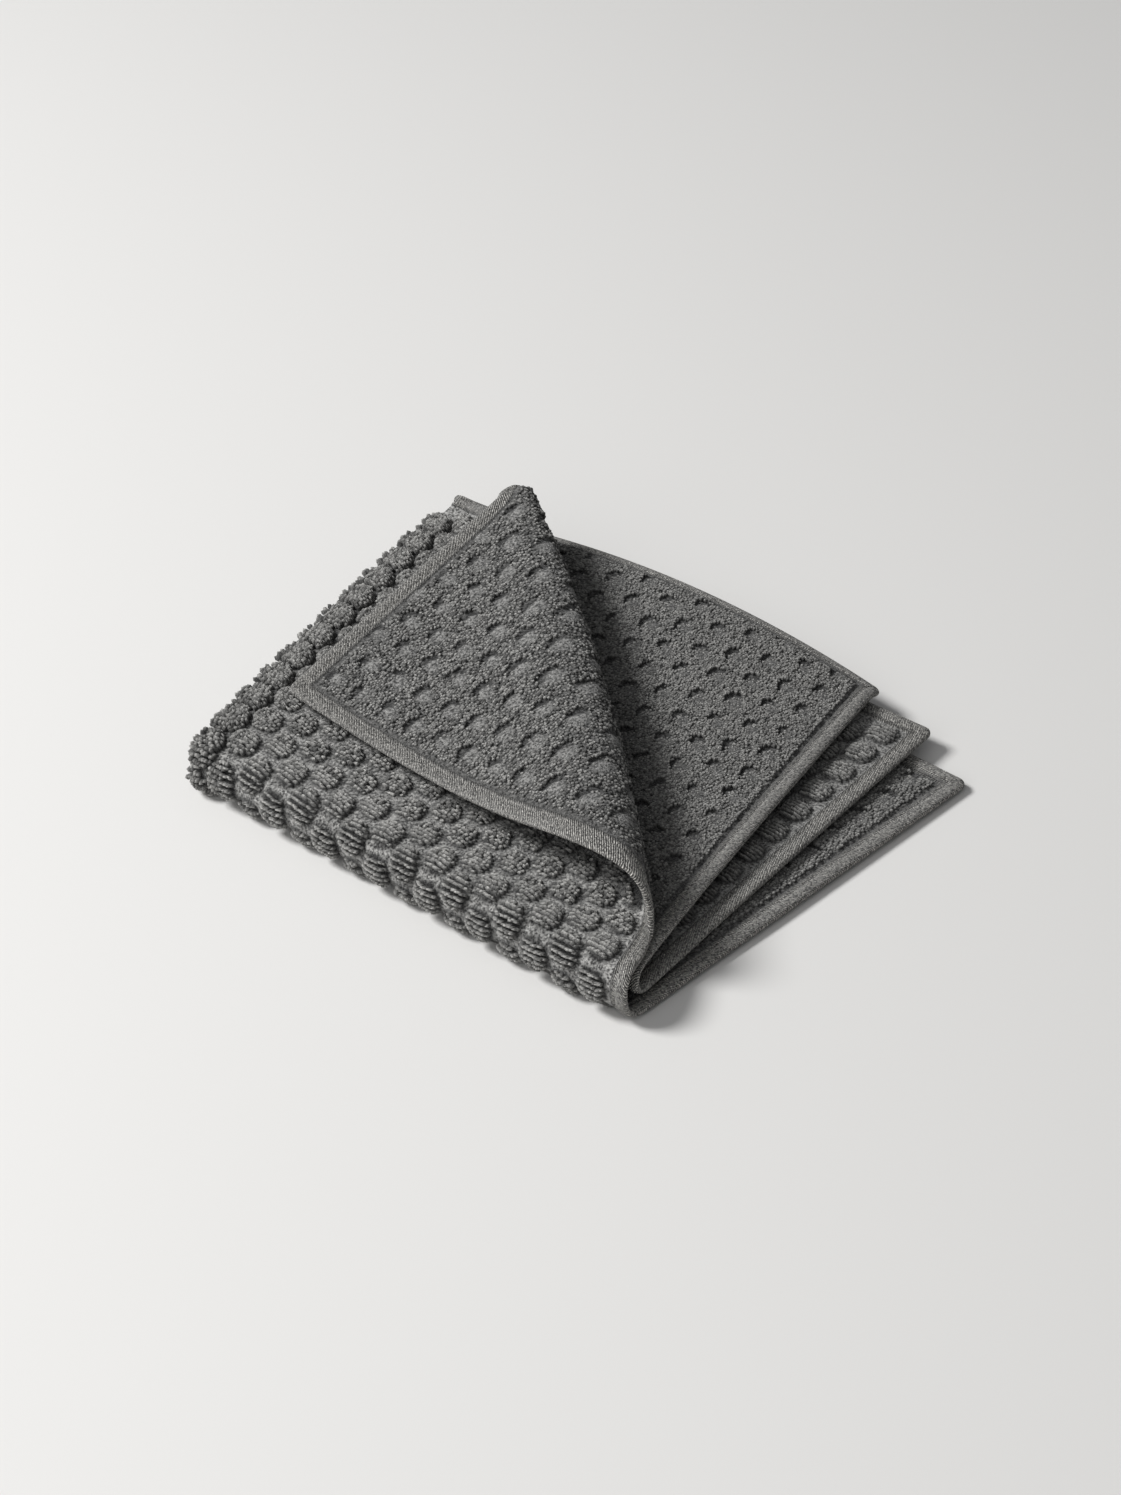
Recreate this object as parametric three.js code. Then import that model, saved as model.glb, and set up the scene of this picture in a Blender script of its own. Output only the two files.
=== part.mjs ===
// A small terry towel, folded in quarters, with the corner of its top layer laid back.
// One hemmed cloth: raised dots of pile on one side, low even pile on the other.
// Millimetres. +X runs along the second fold to the side hems, +Y to the end hems, +Z up.
import * as THREE from 'three';

// The flat cloth
const HALF_LENGTH = 202; // from the second fold to each end hem
const HALF_WIDTH = 210; // from the first fold to each side hem
const HEM_WIDTH = 8.5;
const PILE_STEP = 2; // the strip over which the pile comes down to the hem

// Half thicknesses, from the middle of the ground weave
const HEM_HALF = 1.1;
const DOT_SIDE = 3.0;
const PLAIN_SIDE = 1.2;
const TURN_PLAIN = 0.6; // the same where the first fold squeezes it
const CRUSH = 0.5; // share of a bend's inner radius that its pile may fill

// The folds
const TURN_HALF = 8; // half the cloth that the first fold's turn takes up
const TURN_ARC = 3.6; // half the part of it that bends most
const FLAP_START = 85; // from the first fold to where the flap starts at the end hem
const CREST_START = 63; // the same for the crest that it turns over
const TOP_PLACE = 6.2; // where on its rails the top layer's end hem lies beyond the crest

// The middle of the footprint, seen from the near corner of the lowest layer
const FOOTPRINT_X = -120.8;
const FOOTPRINT_Y = 93.89;

// Rails that the cloth runs over from its lower end hem to its upper one.
// Columns: name, place at the side hem, place at the first fold, bulge half-way between.
const FLAT = [0, 0, 0];
const rail = (name, hem, fold, bulge = FLAT) => ({ name, hem, fold, bulge });

// The outer sheet: lowest layer, second fold, top layer, crest, flap
const OUTER_STACK = [
  rail('lowest end', [9.5, 180, 2.7], [-205, 185, 2.9]),
  rail('lowest middle', [4, 75, 2.8], [-205, 75, 2.9]),
  rail('fold foot', [0, 8, 2.6], [-203, 12, 2.9]),
  rail('fold low', [-1, -9, 1.0], [-205, -8, 2.0]),
  rail('fold high', [-2, -9, 21.0], [-206, -9, 19.5]),
  rail('top start', [-5, 4, 20.0], [-208, 14, 19.6]),
  rail('top middle', [-9, 13, 19.0], [-236, 145, 22.0]),
];
// These five run along the flap's crest, so their second place is at its far end
const OUTER_FLAP = [
  rail('crest low', [-13, 20, 19.0], [-200, 174, 37], [4, 5, 0]),
  rail('crest high', [-16, 19, 44.0], [-201, 176, 50.5], [4, 5, 0]),
  rail('flap near crest', [-52, 15, 46.0], [-206, 169, 50]),
  rail('flap middle', [-110, 24, 25.5], [-208, 166, 48.5]),
  rail('flap end', [-201.7, 33.8, 28.0], [-209, 164, 48]),
];
// How far those shift from the crest's far end to the first fold
const TOP_SHIFT = [-42, 14, -18];

// The inner sheet: second layer, inner fold, third layer
const INNER_STACK = [
  rail('second end', [-16, 193, 7.5], [-208, 188, 7.8]),
  rail('second middle', [-9, 80, 7.5], [-206, 80, 7.8]),
  rail('inner fold foot', [-4, 10, 7.0], [-202, 10, 7.8]),
  rail('inner fold low', [-3, 0, 7.0], [-200, 1, 7.6]),
  rail('inner fold high', [-4, 0, 16.0], [-200, 1, 15.9]),
  rail('inner fold top', [-8, 12, 15.5], [-205, 14, 15.5]),
  rail('third middle', [-27, 105, 15.5], [-224, 100, 15.5], [0, 0, 3]),
  rail('third end', [-45, 199, 12.5], [-243, 188, 15.2], [0, 3, 9]),
];

// Stations across the width: from, to, steps
const WIDTH_STATIONS = [
  [-HALF_WIDTH, -HALF_WIDTH + HEM_WIDTH, 1],
  [-HALF_WIDTH + HEM_WIDTH, -HALF_WIDTH + HEM_WIDTH + PILE_STEP, 1],
  [-HALF_WIDTH + HEM_WIDTH + PILE_STEP, -TURN_HALF, 11],
  [-TURN_HALF, -TURN_ARC, 1],
  [-TURN_ARC, TURN_ARC, 5],
  [TURN_ARC, TURN_HALF, 1],
  [TURN_HALF, CREST_START, 6],
  [CREST_START, FLAP_START, 5],
  [FLAP_START, HALF_WIDTH - HEM_WIDTH - PILE_STEP, 12],
  [HALF_WIDTH - HEM_WIDTH - PILE_STEP, HALF_WIDTH - HEM_WIDTH, 1],
  [HALF_WIDTH - HEM_WIDTH, HALF_WIDTH, 1],
];

// Stations along the length follow the folds. Steps in each stretch between the two hems:
const FLOOR_STEPS = 11;
const FOLD_STEPS = 14;
const TOP_STEPS = 10;
const CREST_STEPS = 11;
const FLAP_STEPS = 10;
// Where the stretches change on the rails, as a place between one rail and the next
const OUTER_BREAKS = [1.2, 3.8, 5.4, 7.8];
const INNER_BREAKS = [1.3, 3.7];
const LEAST_STEP = 0.7; // between stations that bunch up against the end hem
const SPREAD_WIDTH = 60; // over which the inner sheet's stations even out

const SPLINE_DEGREE = 3;
const SAMPLES_PER_SPAN = 60;
const PROBE = 1; // step for slopes and bends

const vector = ([x, y, z]) => new THREE.Vector3(x, y, z);
const within = (value, limit) => Math.min(Math.max(value, -limit), limit);
const OUTWARD = vector([-1, 0, 0]); // from the layers to the first fold

// A rail's point, from 0 at the side hem to 1 at its other end
function railPoint({ hem, fold, bulge }, share) {
  return vector(hem)
    .lerp(vector(fold), share)
    .addScaledVector(vector(bulge), 4 * share * (1 - share));
}

// The control points of one thread that runs the length of the cloth, at a width on it
function threadControls(width) {
  const fromHem = (HALF_WIDTH - Math.abs(width)) / (HALF_WIDTH - TURN_HALF);
  if (width < 0) return INNER_STACK.map((row) => railPoint(row, fromHem));
  const controls = OUTER_STACK.map((row) => railPoint(row, fromHem));
  const alongCrest = Math.min((HALF_WIDTH - width) / (HALF_WIDTH - FLAP_START), 1);
  const beyond = Math.max((FLAP_START - width) / (FLAP_START - TURN_HALF), 0);
  const shift = vector(TOP_SHIFT).multiplyScalar(beyond);
  return controls.concat(OUTER_FLAP.map((row) => railPoint(row, alongCrest).add(shift)));
}

// Where a thread ends on its rails: on the flap, on the crest or short of it
function threadEnd(width, spans) {
  if (width < 0) return spans;
  const share = THREE.MathUtils.smoothstep(width, CREST_START, FLAP_START);
  return THREE.MathUtils.lerp(TOP_PLACE, spans, share);
}

// A point on a clamped cubic B-spline, by de Boor's steps
function splinePoint(controls, parameter) {
  const spans = controls.length - SPLINE_DEGREE;
  const span = Math.min(Math.floor(parameter), spans - 1);
  const knot = (i) => Math.min(Math.max(i, 0), spans);
  const points = [];
  for (let i = 0; i <= SPLINE_DEGREE; i += 1) points.push(controls[span + i].clone());
  for (let level = 1; level <= SPLINE_DEGREE; level += 1) {
    for (let i = SPLINE_DEGREE; i >= level; i -= 1) {
      const low = knot(span + i - SPLINE_DEGREE);
      const high = knot(span + i + 1 - level);
      points[i].lerpVectors(points[i - 1], points[i], (parameter - low) / (high - low));
    }
  }
  return points[SPLINE_DEGREE];
}

// A thread as evenly laid cloth: its point at a length from the second fold
const threads = new Map();
function thread(width) {
  if (!threads.has(width)) {
    const controls = threadControls(width);
    const spans = controls.length - SPLINE_DEGREE;
    const end = threadEnd(width, spans);
    const count = Math.ceil(end * SAMPLES_PER_SPAN);
    const points = [];
    for (let i = 0; i <= count; i += 1) {
      points.push(splinePoint(controls, Math.min(i / SAMPLES_PER_SPAN, end)));
    }
    const reach = [0];
    for (let i = 1; i <= count; i += 1) {
      reach.push(reach[i - 1] + points[i].distanceTo(points[i - 1]));
    }
    threads.set(width, { points, reach });
  }
  return threads.get(width);
}

function threadPoint(width, length) {
  const { points, reach } = thread(width);
  const last = reach.length - 1;
  const target = (reach[last] * (length + HALF_LENGTH)) / (2 * HALF_LENGTH);
  let low = 0;
  let high = last;
  while (high - low > 1) {
    const middle = (low + high) >> 1;
    if (reach[middle] <= target) low = middle;
    else high = middle;
  }
  const gap = reach[high] - reach[low];
  const share = gap > 0 ? (target - reach[low]) / gap : 0;
  return new THREE.Vector3().lerpVectors(points[low], points[high], share);
}

// The length from the second fold at which a thread passes a place between its rails
function lengthAt(width, place) {
  const { reach } = thread(width);
  const last = reach.length - 1;
  const share = reach[Math.min(Math.round(place * SAMPLES_PER_SPAN), last)] / reach[last];
  return HALF_LENGTH * (2 * share - 1);
}

// Half-way between the two threads that the first fold's turn joins
const turnMiddle = (length) => threadPoint(TURN_HALF, length)
  .add(threadPoint(-TURN_HALF, length))
  .divideScalar(2);

// A point of that turn: straight out from one thread, around, and back to the other
function turnPoint(length, width) {
  const from = within(length - PROBE, HALF_LENGTH - 2 * PROBE);
  const way = turnMiddle(from + 2 * PROBE).sub(turnMiddle(from)).normalize();
  const middle = turnMiddle(length);
  const half = threadPoint(TURN_HALF, length).sub(middle);
  const radius = half.clone().cross(way).cross(OUTWARD).length();
  const leg = Math.max(TURN_HALF - (Math.PI / 2) * radius, 0);
  const turn = (Math.PI / 2) * Math.min(Math.max(1 - width / (TURN_HALF - leg), 0), 2);
  const out = Math.min(TURN_HALF - Math.abs(width), leg) + radius * Math.sin(turn);
  return middle.addScaledVector(half, Math.cos(turn)).addScaledVector(OUTWARD, out);
}

// The middle of the cloth at a length and a width on it
function clothPoint(length, width) {
  return Math.abs(width) < TURN_HALF ? turnPoint(length, width) : threadPoint(width, length);
}

// The cloth's slopes, its plain side's way out, and its two sharpest bends towards that side
function clothShape(length, width) {
  const u = within(length, HALF_LENGTH - PROBE);
  const v = within(width, HALF_WIDTH - PROBE);
  const at = (du, dv) => clothPoint(u + du * PROBE, v + dv * PROBE);
  const middle = at(0, 0);
  const [front, back, right, left] = [at(1, 0), at(-1, 0), at(0, 1), at(0, -1)];
  const along = front.clone().sub(back).divideScalar(2 * PROBE);
  const across = right.clone().sub(left).divideScalar(2 * PROBE);
  const normal = along.clone().cross(across).normalize();
  const second = (a, b) => a.clone().add(b).addScaledVector(middle, -2).dot(normal) / PROBE ** 2;
  const twist = at(1, 1).add(at(-1, -1)).sub(at(1, -1)).sub(at(-1, 1)).dot(normal);
  const [bendAlong, bendAcross] = [second(front, back), second(right, left)];
  const bendMixed = twist / (4 * PROBE ** 2);
  const [ee, ff, gg] = [along.dot(along), along.dot(across), across.dot(across)];
  const area = ee * gg - ff * ff;
  const mean = (ee * bendAcross - 2 * ff * bendMixed + gg * bendAlong) / (2 * area);
  const gauss = (bendAlong * bendAcross - bendMixed * bendMixed) / area;
  const spread = Math.sqrt(Math.max(mean * mean - gauss, 0));
  return { normal, most: mean + spread, least: mean - spread };
}

// Both faces of the cloth at one place
function clothFaces(length, width) {
  const middle = clothPoint(length, width);
  const { normal, most, least } = clothShape(length, width);
  const toEdge = Math.min(HALF_LENGTH - Math.abs(length), HALF_WIDTH - Math.abs(width));
  const inPile = toEdge > HEM_WIDTH + PILE_STEP / 2;
  const inTurn = Math.abs(width) < TURN_HALF;
  const plainSide = inPile ? PLAIN_SIDE : HEM_HALF;
  const dotSide = inPile ? DOT_SIDE : HEM_HALF;
  const plain = Math.min(inTurn ? TURN_PLAIN : plainSide, most > 0 ? CRUSH / most : Infinity);
  const dots = Math.min(dotSide, least < 0 ? -CRUSH / least : Infinity);
  return {
    plain: middle.clone().addScaledVector(normal, plain),
    dots: middle.clone().addScaledVector(normal, -dots),
  };
}

function stations(rows) {
  const values = [rows[0][0]];
  for (const [from, to, steps] of rows) {
    for (let i = 1; i <= steps; i += 1) values.push(from + ((to - from) * i) / steps);
  }
  return values;
}

// Lengths of the stations on one thread, denser where it folds
function threadStations(width) {
  const pileEnd = HALF_LENGTH - HEM_WIDTH - PILE_STEP;
  const breaks = width > 0 ? OUTER_BREAKS : INNER_BREAKS;
  const stops = [-pileEnd, ...breaks.map((place) => lengthAt(width, place)), pileEnd];
  const steps = width > 0
    ? [FLOOR_STEPS, FOLD_STEPS, TOP_STEPS, CREST_STEPS, FLAP_STEPS]
    : [FLOOR_STEPS, FOLD_STEPS, TOP_STEPS + CREST_STEPS + FLAP_STEPS];
  const rows = steps.map((count, i) => [stops[i], stops[i + 1], count]);
  const inner = stations(rows);
  const last = inner.length - 1;
  return inner.map((length, i) => Math.min(length, pileEnd - LEAST_STEP * (last - i)));
}

// The same, made to run smoothly from the outer sheet into the inner one
function lengthStations(width) {
  let inner;
  if (width >= TURN_HALF) {
    inner = threadStations(width);
  } else {
    const outerRow = threadStations(TURN_HALF);
    const innerRow = threadStations(Math.min(width, -TURN_HALF));
    const share = Math.min((TURN_HALF - width) / SPREAD_WIDTH, 1);
    inner = outerRow.map((length, i) => THREE.MathUtils.lerp(length, innerRow[i], share));
  }
  const hem = [HALF_LENGTH - HEM_WIDTH, HALF_LENGTH];
  return [-hem[1], -hem[0], ...inner, hem[0], hem[1]];
}

// The closed sheet: plain face, dotted face and the rim that joins them
function towelGeometry() {
  const widths = stations(WIDTH_STATIONS);
  const lengths = widths.map(lengthStations);
  const positions = [];
  const put = (point) => positions.push(
    point.x - FOOTPRINT_X, point.y - FOOTPRINT_Y, Math.max(point.z, 0));
  const rowCount = lengths[0].length;
  for (let i = 0; i < rowCount; i += 1) {
    widths.forEach((width, j) => {
      const faces = clothFaces(lengths[j][i], width);
      put(faces.plain);
      put(faces.dots);
    });
  }
  const indices = [];
  const at = (i, j, side) => 2 * (i * widths.length + j) + side;
  const quad = (a, b, c, d) => indices.push(a, b, c, a, c, d);
  const lastI = rowCount - 1;
  const lastJ = widths.length - 1;
  for (let i = 0; i < lastI; i += 1) {
    for (let j = 0; j < lastJ; j += 1) {
      quad(at(i, j, 0), at(i + 1, j, 0), at(i + 1, j + 1, 0), at(i, j + 1, 0));
      quad(at(i, j, 1), at(i, j + 1, 1), at(i + 1, j + 1, 1), at(i + 1, j, 1));
    }
  }
  for (let i = 0; i < lastI; i += 1) {
    quad(at(i, 0, 0), at(i, 0, 1), at(i + 1, 0, 1), at(i + 1, 0, 0));
    quad(at(i, lastJ, 0), at(i + 1, lastJ, 0), at(i + 1, lastJ, 1), at(i, lastJ, 1));
  }
  for (let j = 0; j < lastJ; j += 1) {
    quad(at(0, j, 0), at(0, j + 1, 0), at(0, j + 1, 1), at(0, j, 1));
    quad(at(lastI, j, 0), at(lastI, j, 1), at(lastI, j + 1, 1), at(lastI, j + 1, 0));
  }
  const geometry = new THREE.BufferGeometry();
  geometry.setAttribute('position', new THREE.Float32BufferAttribute(positions, 3));
  geometry.setIndex(indices);
  geometry.computeVertexNormals();
  return geometry;
}

const terry = new THREE.MeshStandardMaterial({ color: 0x5c5b59, roughness: 0.95, metalness: 0 });
const towel = new THREE.Mesh(towelGeometry(), terry);
towel.name = 'towel';

const part = new THREE.Group();
part.name = 'folded towel';
part.add(towel);

export default part;
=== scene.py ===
"""The looks of a folded terry towel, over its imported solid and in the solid's frame."""

import math
from typing import NamedTuple

import bpy
import numpy as np
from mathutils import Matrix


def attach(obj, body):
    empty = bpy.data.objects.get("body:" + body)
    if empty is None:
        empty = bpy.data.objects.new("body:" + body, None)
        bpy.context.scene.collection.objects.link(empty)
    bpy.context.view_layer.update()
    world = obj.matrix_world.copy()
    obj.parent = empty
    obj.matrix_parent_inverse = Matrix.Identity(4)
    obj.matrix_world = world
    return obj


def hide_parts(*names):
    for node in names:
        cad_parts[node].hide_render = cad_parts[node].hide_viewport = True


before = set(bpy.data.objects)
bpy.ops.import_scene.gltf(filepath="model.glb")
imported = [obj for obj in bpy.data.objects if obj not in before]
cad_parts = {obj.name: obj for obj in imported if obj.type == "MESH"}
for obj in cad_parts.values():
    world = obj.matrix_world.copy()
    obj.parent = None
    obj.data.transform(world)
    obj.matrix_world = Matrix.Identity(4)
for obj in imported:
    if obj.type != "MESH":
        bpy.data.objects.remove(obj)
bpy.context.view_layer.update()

MM = 0.001

# The flat cloth and its folds, in millimetres, as the solid has them
HALF_LENGTH = 202.0  # from the cloth's middle, beside the main fold, to each end hem
HALF_WIDTH = 210.0  # from the first fold to each side hem
TURN_HALF = 8.0  # half the cloth that the first fold's turn takes up
FLAP_START = 85.0  # from the first fold to where the flap starts at the end hem
CREST_START = 63.0  # the same for the crest that it turns over
TOP_PLACE = 6.2  # where on its rails the top layer's end hem lies beyond the crest
TOP_SHIFT = (-42, 14, -18)  # from the crest's far end to the first fold
FOOTPRINT = (-120.8, 93.89)  # the middle of the footprint, from the near corner
FLOOR_GAP = 0.15  # the lowest that the pile reaches
DROOP = 3.6  # how far the third layer's end hem hangs down
DROOP_START = 191.0  # from the cloth's middle
DROOP_CURVE = 1.5
CRUSH = 0.5  # share of a bend's inner radius that its pile may fill
OUTWARD = np.array([-1.0, 0.0, 0.0])  # from the layers to the first fold

# Rails that the cloth runs over, from its lower end hem to its upper one.
# Columns: place at the side hem, place at the first fold, bulge half-way between.
# The outer rails carry the lowest layer, go round the main fold and carry the top
# layer up to the crest. The flap's rails go over the crest and back. The inner rails
# carry the second layer, go round the main fold and carry the third layer.
FLAT = (0, 0, 0)
OUTER_STACK = [
    ((9.5, 180, 2.7), (-205, 185, 2.9), FLAT),
    ((4, 75, 2.8), (-205, 75, 2.9), FLAT),
    ((0, 8, 2.6), (-203, 12, 2.9), FLAT),
    ((-1, -9, 1.0), (-205, -8, 2.0), FLAT),
    ((-2, -9, 21.0), (-206, -9, 19.5), FLAT),
    ((-5, 4, 20.0), (-208, 14, 19.6), FLAT),
    ((-9, 13, 19.0), (-236, 145, 22.0), FLAT),
]
OUTER_FLAP = [
    ((-13, 20, 19.0), (-200, 174, 37), (4, 5, 0)),
    ((-16, 19, 44.0), (-201, 176, 50.5), (4, 5, 0)),
    ((-52, 15, 46.0), (-206, 169, 50), FLAT),
    ((-110, 24, 25.5), (-208, 166, 48.5), FLAT),
    ((-201.7, 33.8, 28.0), (-209, 164, 48), FLAT),
]
INNER_STACK = [
    ((-16, 193, 7.5), (-208, 188, 7.8), FLAT),
    ((-9, 80, 7.5), (-206, 80, 7.8), FLAT),
    ((-4, 10, 7.0), (-202, 10, 7.8), FLAT),
    ((-3, 0, 7.0), (-200, 1, 7.6), FLAT),
    ((-4, 0, 16.0), (-200, 1, 15.9), FLAT),
    ((-8, 12, 15.5), (-205, 14, 15.5), FLAT),
    ((-27, 105, 15.5), (-224, 100, 15.5), (0, 0, 3)),
    ((-45, 199, 12.5), (-243, 188, 15.2), (0, 3, 9)),
]

# The table of places that every piece is laid on
DEGREE = 3  # of the splines that the threads follow
SAMPLES_PER_SPAN = 60
TABLE_STEP = 1.0  # from place to place on the flat cloth
TURN_STEP = 0.2  # the same in the first fold's turn
TURN_MARGIN = 0.6  # how far the close steps go past the turn
LAST_CELL = 1.001  # just over one cell, so that a place at the end still lies in one
LEAST_LENGTH = 1e-9  # these three keep a divisor from being nothing
LEAST_AREA = 1e-6
LEAST_BEND = 1e-3

# Dots, in millimetres. Heights are over the middle of the cloth
DOT_PITCH_LENGTH = 15.0
DOT_PITCH_WIDTH = 26.0
DOT_HALF_LENGTH = 5.55
DOT_HALF_WIDTH = 6.1
DOT_ROUND = 2.5  # 2 is an oval, more is squarer
DOT_RIM = 0.97  # share of a dot that bears loops
DOT_EDGE_ROOM = 13.0  # from the cloth's edge to the nearest dot's middle
LEFT_OUT = 2.0  # a share that is past any dot's rim and shadow
DOT_TOP = 3.15  # height of a dot's loops
DOT_CORE = 1.3  # height of the cloth under them
DOT_GROUND = 0.65  # height of the weave between the dots
DOT_DOME = 6  # more makes the top of a dot flatter
CORE_DOME = 4  # the same for the cloth under its loops
FAN = 0.5  # how far the loops at a dot's rim lean out

# What the folds do to the dots
MAIN_FOLD = -6.0  # where the main fold is along the pattern
MAIN_FOLD_FADE = (12, 20)  # from it, where its part in the dots' height ends
FIRST_FOLD_FADE = (10, 20)  # the same for the first fold
DOT_FANNED = 1.3  # how much more a dot stands out over the main fold's bend
DOT_OPENED = 1.7  # the same over the first fold, which bends more
DOT_SWELL = 0.2  # how much wider a dot is where it opens over the first fold
DOT_DRIFT = 5.0  # how far the pattern is drawn over toward the top at the first fold
DRIFT_BEGINS = (-120, -20)  # places across the cloth
DRIFT_ENDS = (60, 180)
FOLD_SLIP = 6.8  # how far each side of the first fold has slipped past the main fold
SLIP_REACH = 95.0  # from the first fold to where the slip ends
SLIP_BEGINS = (-30, 30)  # places along the cloth
SLIP_PASSES = 4  # of working back from the pattern to the cloth

# Plain side: smooth patches, each with a sunk cleft at one side of it that is painted dark with
# shade
PLAIN_TOP = 1.9  # height of its loops
PLAIN_CORE = 0.9  # height of the cloth under them
PLAIN_PATCH = 1.35  # height of a patch
PATCH_RADIUS = 3.9
PATCH_RIM = 1.4  # over which a patch goes down to the cloth
PATCH_SINK = 0.5  # how much of a patch's depth the loops' tops follow
PATCH_BARE = 0.6  # from this share of a patch on, the flap has no loops
CLEFT_THIRD = 1.05  # ways that the clefts face, as angles from the cloth's length
CLEFT_FLAP = -0.34
CLEFT_LOWEST = -2.6
CLEFT_SWING = 0.4  # how far a cleft's own way strays from that
CLEFT_TURN = 1.0  # half the angle that a cleft goes round its patch
TURN_STRAYS = 0.25  # how far that strays
CLEFT_GAP = 0.4  # from the patch to the middle of its cleft
GAP_STRAYS = 0.5  # how far that strays
CLEFT_HALF = 1.35  # half its width at the middle
CLEFT_TIP = 0.05  # the same at its tips
CLEFT_FADE = (0.6, 1.1)  # shares of half its width where it ends
CLEFT_DEPTH = 0.5
CLEFT_OPEN = (0.1, 0.6)  # depths of a cleft at which loops stop standing in it
LIP_HEIGHT = 0.55  # how much higher the pile is beyond each cleft
LIP_OUT = 1.6

# Hems, from the cloth's edge inward. Heights are half the thickness
EDGE_THIN = 0.45
HEM_THICK = 1.45
HEM_FLAT = 0.5  # how much thicker the hem is behind its roll than at the edge
ROLL_WIDTH = 4.9  # of the hem's rounded roll
ROLL_FADE = 0.7  # over which the hem rises behind its roll
SEAM = 7.3  # the line of stitches
SEAM_END = 8.1
SEAM_DEPTH = 0.6
SEAM_FADE = (0.2, 0.7)
PILE_RISE = 0.3  # from the stitches to where the field starts to rise
PILE_ROOM = 0.4  # from the seam's end to the first loops of the plain side
FINISH_ROOM = 0.1  # from the stitches to where the hem's finish ends
MITRE_DEPTH = 0.6
MITRE_FADE = (0.2, 0.9)
CORNER = 3.5  # radius of the cloth's corners
# Where the sheet's points are beside a hem
HEM_STATIONS = (
    0.0, 0.2, 0.8, 1.7, 2.6, 3.5, 4.3, ROLL_WIDTH, 5.5, 6.7, SEAM, 7.8, SEAM_END, 9.6,
)
LENGTH_STEP = 1.98  # of the sheet's faces between its hems
WIDTH_STEP = 2.08

# Shades painted on the cloth itself, mostly painted shade, where 1 is its finish's own colour
# Painted shade in the stitched groove, and in the crease where two hems meet at a corner
SEAM_DARK = 0.9
SEAM_SHADOW = (0.4, 1.1)  # from the stitches, where their shadow ends
MITRE_DARK = 0.6
SEAM_SHADE_LEAST = 0.08
PILE_SHADE = 0.5  # painted shade on the cloth under the plain side's loops
PATCH_LIGHT = 0.6  # what the flap's bare patches add to that, where no loops stand to shade them
# Painted shade in the plain side's clefts
CLEFT_DARK = 0.9
PILE_LEAST = 0.1
BETWEEN_OUTER = 1.6  # between the dots of the outer layers
# The inner layers' is painted darker than the outer layers', as shade
BETWEEN_INNER_SHADED = 1.25
# Painted shade on the cloth under a dot's loops, seen between its rows
UNDER_DOT = 0.15
DOT_SHADOW = (1.0, 1.3)  # shares of a dot where the shadow at its foot ends

# Numbers that each dot, patch or cleft has for itself
OWN_COUNT = 61
OWN_SEED = 11
OWN_WAY, OWN_TURN, OWN_GAP = range(3)
OWN_NUMBERS = np.random.default_rng(OWN_SEED).uniform(-1, 1, (3, OWN_COUNT, OWN_COUNT))


def smooth(low, high, value):
    """0 below low, 1 above high and a soft rise between them."""
    share = np.clip((value - low) / (high - low), 0, 1)
    return share * share * (3 - 2 * share)


def dot(a, b):
    return (a * b).sum(axis=-1)


def unit(vectors):
    return vectors / np.maximum(np.linalg.norm(vectors, axis=-1, keepdims=True), LEAST_LENGTH)


# The folded cloth


def rail_points(rows, share):
    """Each rail's point, from 0 at the side hem to 1 at its other end."""
    hem, fold, bulge = (np.array(column, float) for column in zip(*rows))
    return hem + (fold - hem) * share + bulge * 4 * share * (1 - share)


def thread_controls(width):
    """The control points of one thread that runs the length of the cloth."""
    from_hem = (HALF_WIDTH - abs(width)) / (HALF_WIDTH - TURN_HALF)
    if width < 0:
        return rail_points(INNER_STACK, from_hem)
    along_crest = min((HALF_WIDTH - width) / (HALF_WIDTH - FLAP_START), 1)
    beyond = max((FLAP_START - width) / (FLAP_START - TURN_HALF), 0)
    flap = rail_points(OUTER_FLAP, along_crest) + np.array(TOP_SHIFT) * beyond
    return np.vstack([rail_points(OUTER_STACK, from_hem), flap])


def thread_end(width, spans):
    """Where a thread ends on its rails: on the flap, on the crest or short of it."""
    if width < 0:
        return spans
    return TOP_PLACE + (spans - TOP_PLACE) * smooth(CREST_START, FLAP_START, width)


def spline(controls, at):
    """Points of a clamped cubic B-spline, by de Boor's steps."""
    spans = len(controls) - DEGREE
    span = np.minimum(at.astype(int), spans - 1)
    points = [controls[span + i] for i in range(DEGREE + 1)]
    for level in range(1, DEGREE + 1):
        for i in range(DEGREE, level - 1, -1):
            low = np.clip(span + i - DEGREE, 0, spans)
            high = np.clip(span + i + 1 - level, 0, spans)
            share = ((at - low) / (high - low))[:, None]
            points[i] = points[i - 1] * (1 - share) + points[i] * share
    return points[DEGREE]


def thread_samples(width):
    """Close points along a thread, and how far along it each one is."""
    controls = thread_controls(width)
    end = thread_end(width, len(controls) - DEGREE)
    at = np.minimum(np.arange(math.ceil(end * SAMPLES_PER_SPAN) + 1) / SAMPLES_PER_SPAN, end)
    points = spline(controls, at)
    gaps = np.linalg.norm(np.diff(points, axis=0), axis=1)
    return points, np.concatenate([[0], np.cumsum(gaps)])


def thread(width, lengths):
    """A thread as evenly laid cloth: its points at lengths from the cloth's middle."""
    points, reach = thread_samples(width)
    target = reach[-1] * (lengths + HALF_LENGTH) / (2 * HALF_LENGTH)
    return np.stack([np.interp(target, reach, points[:, k]) for k in range(3)], axis=1)


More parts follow.
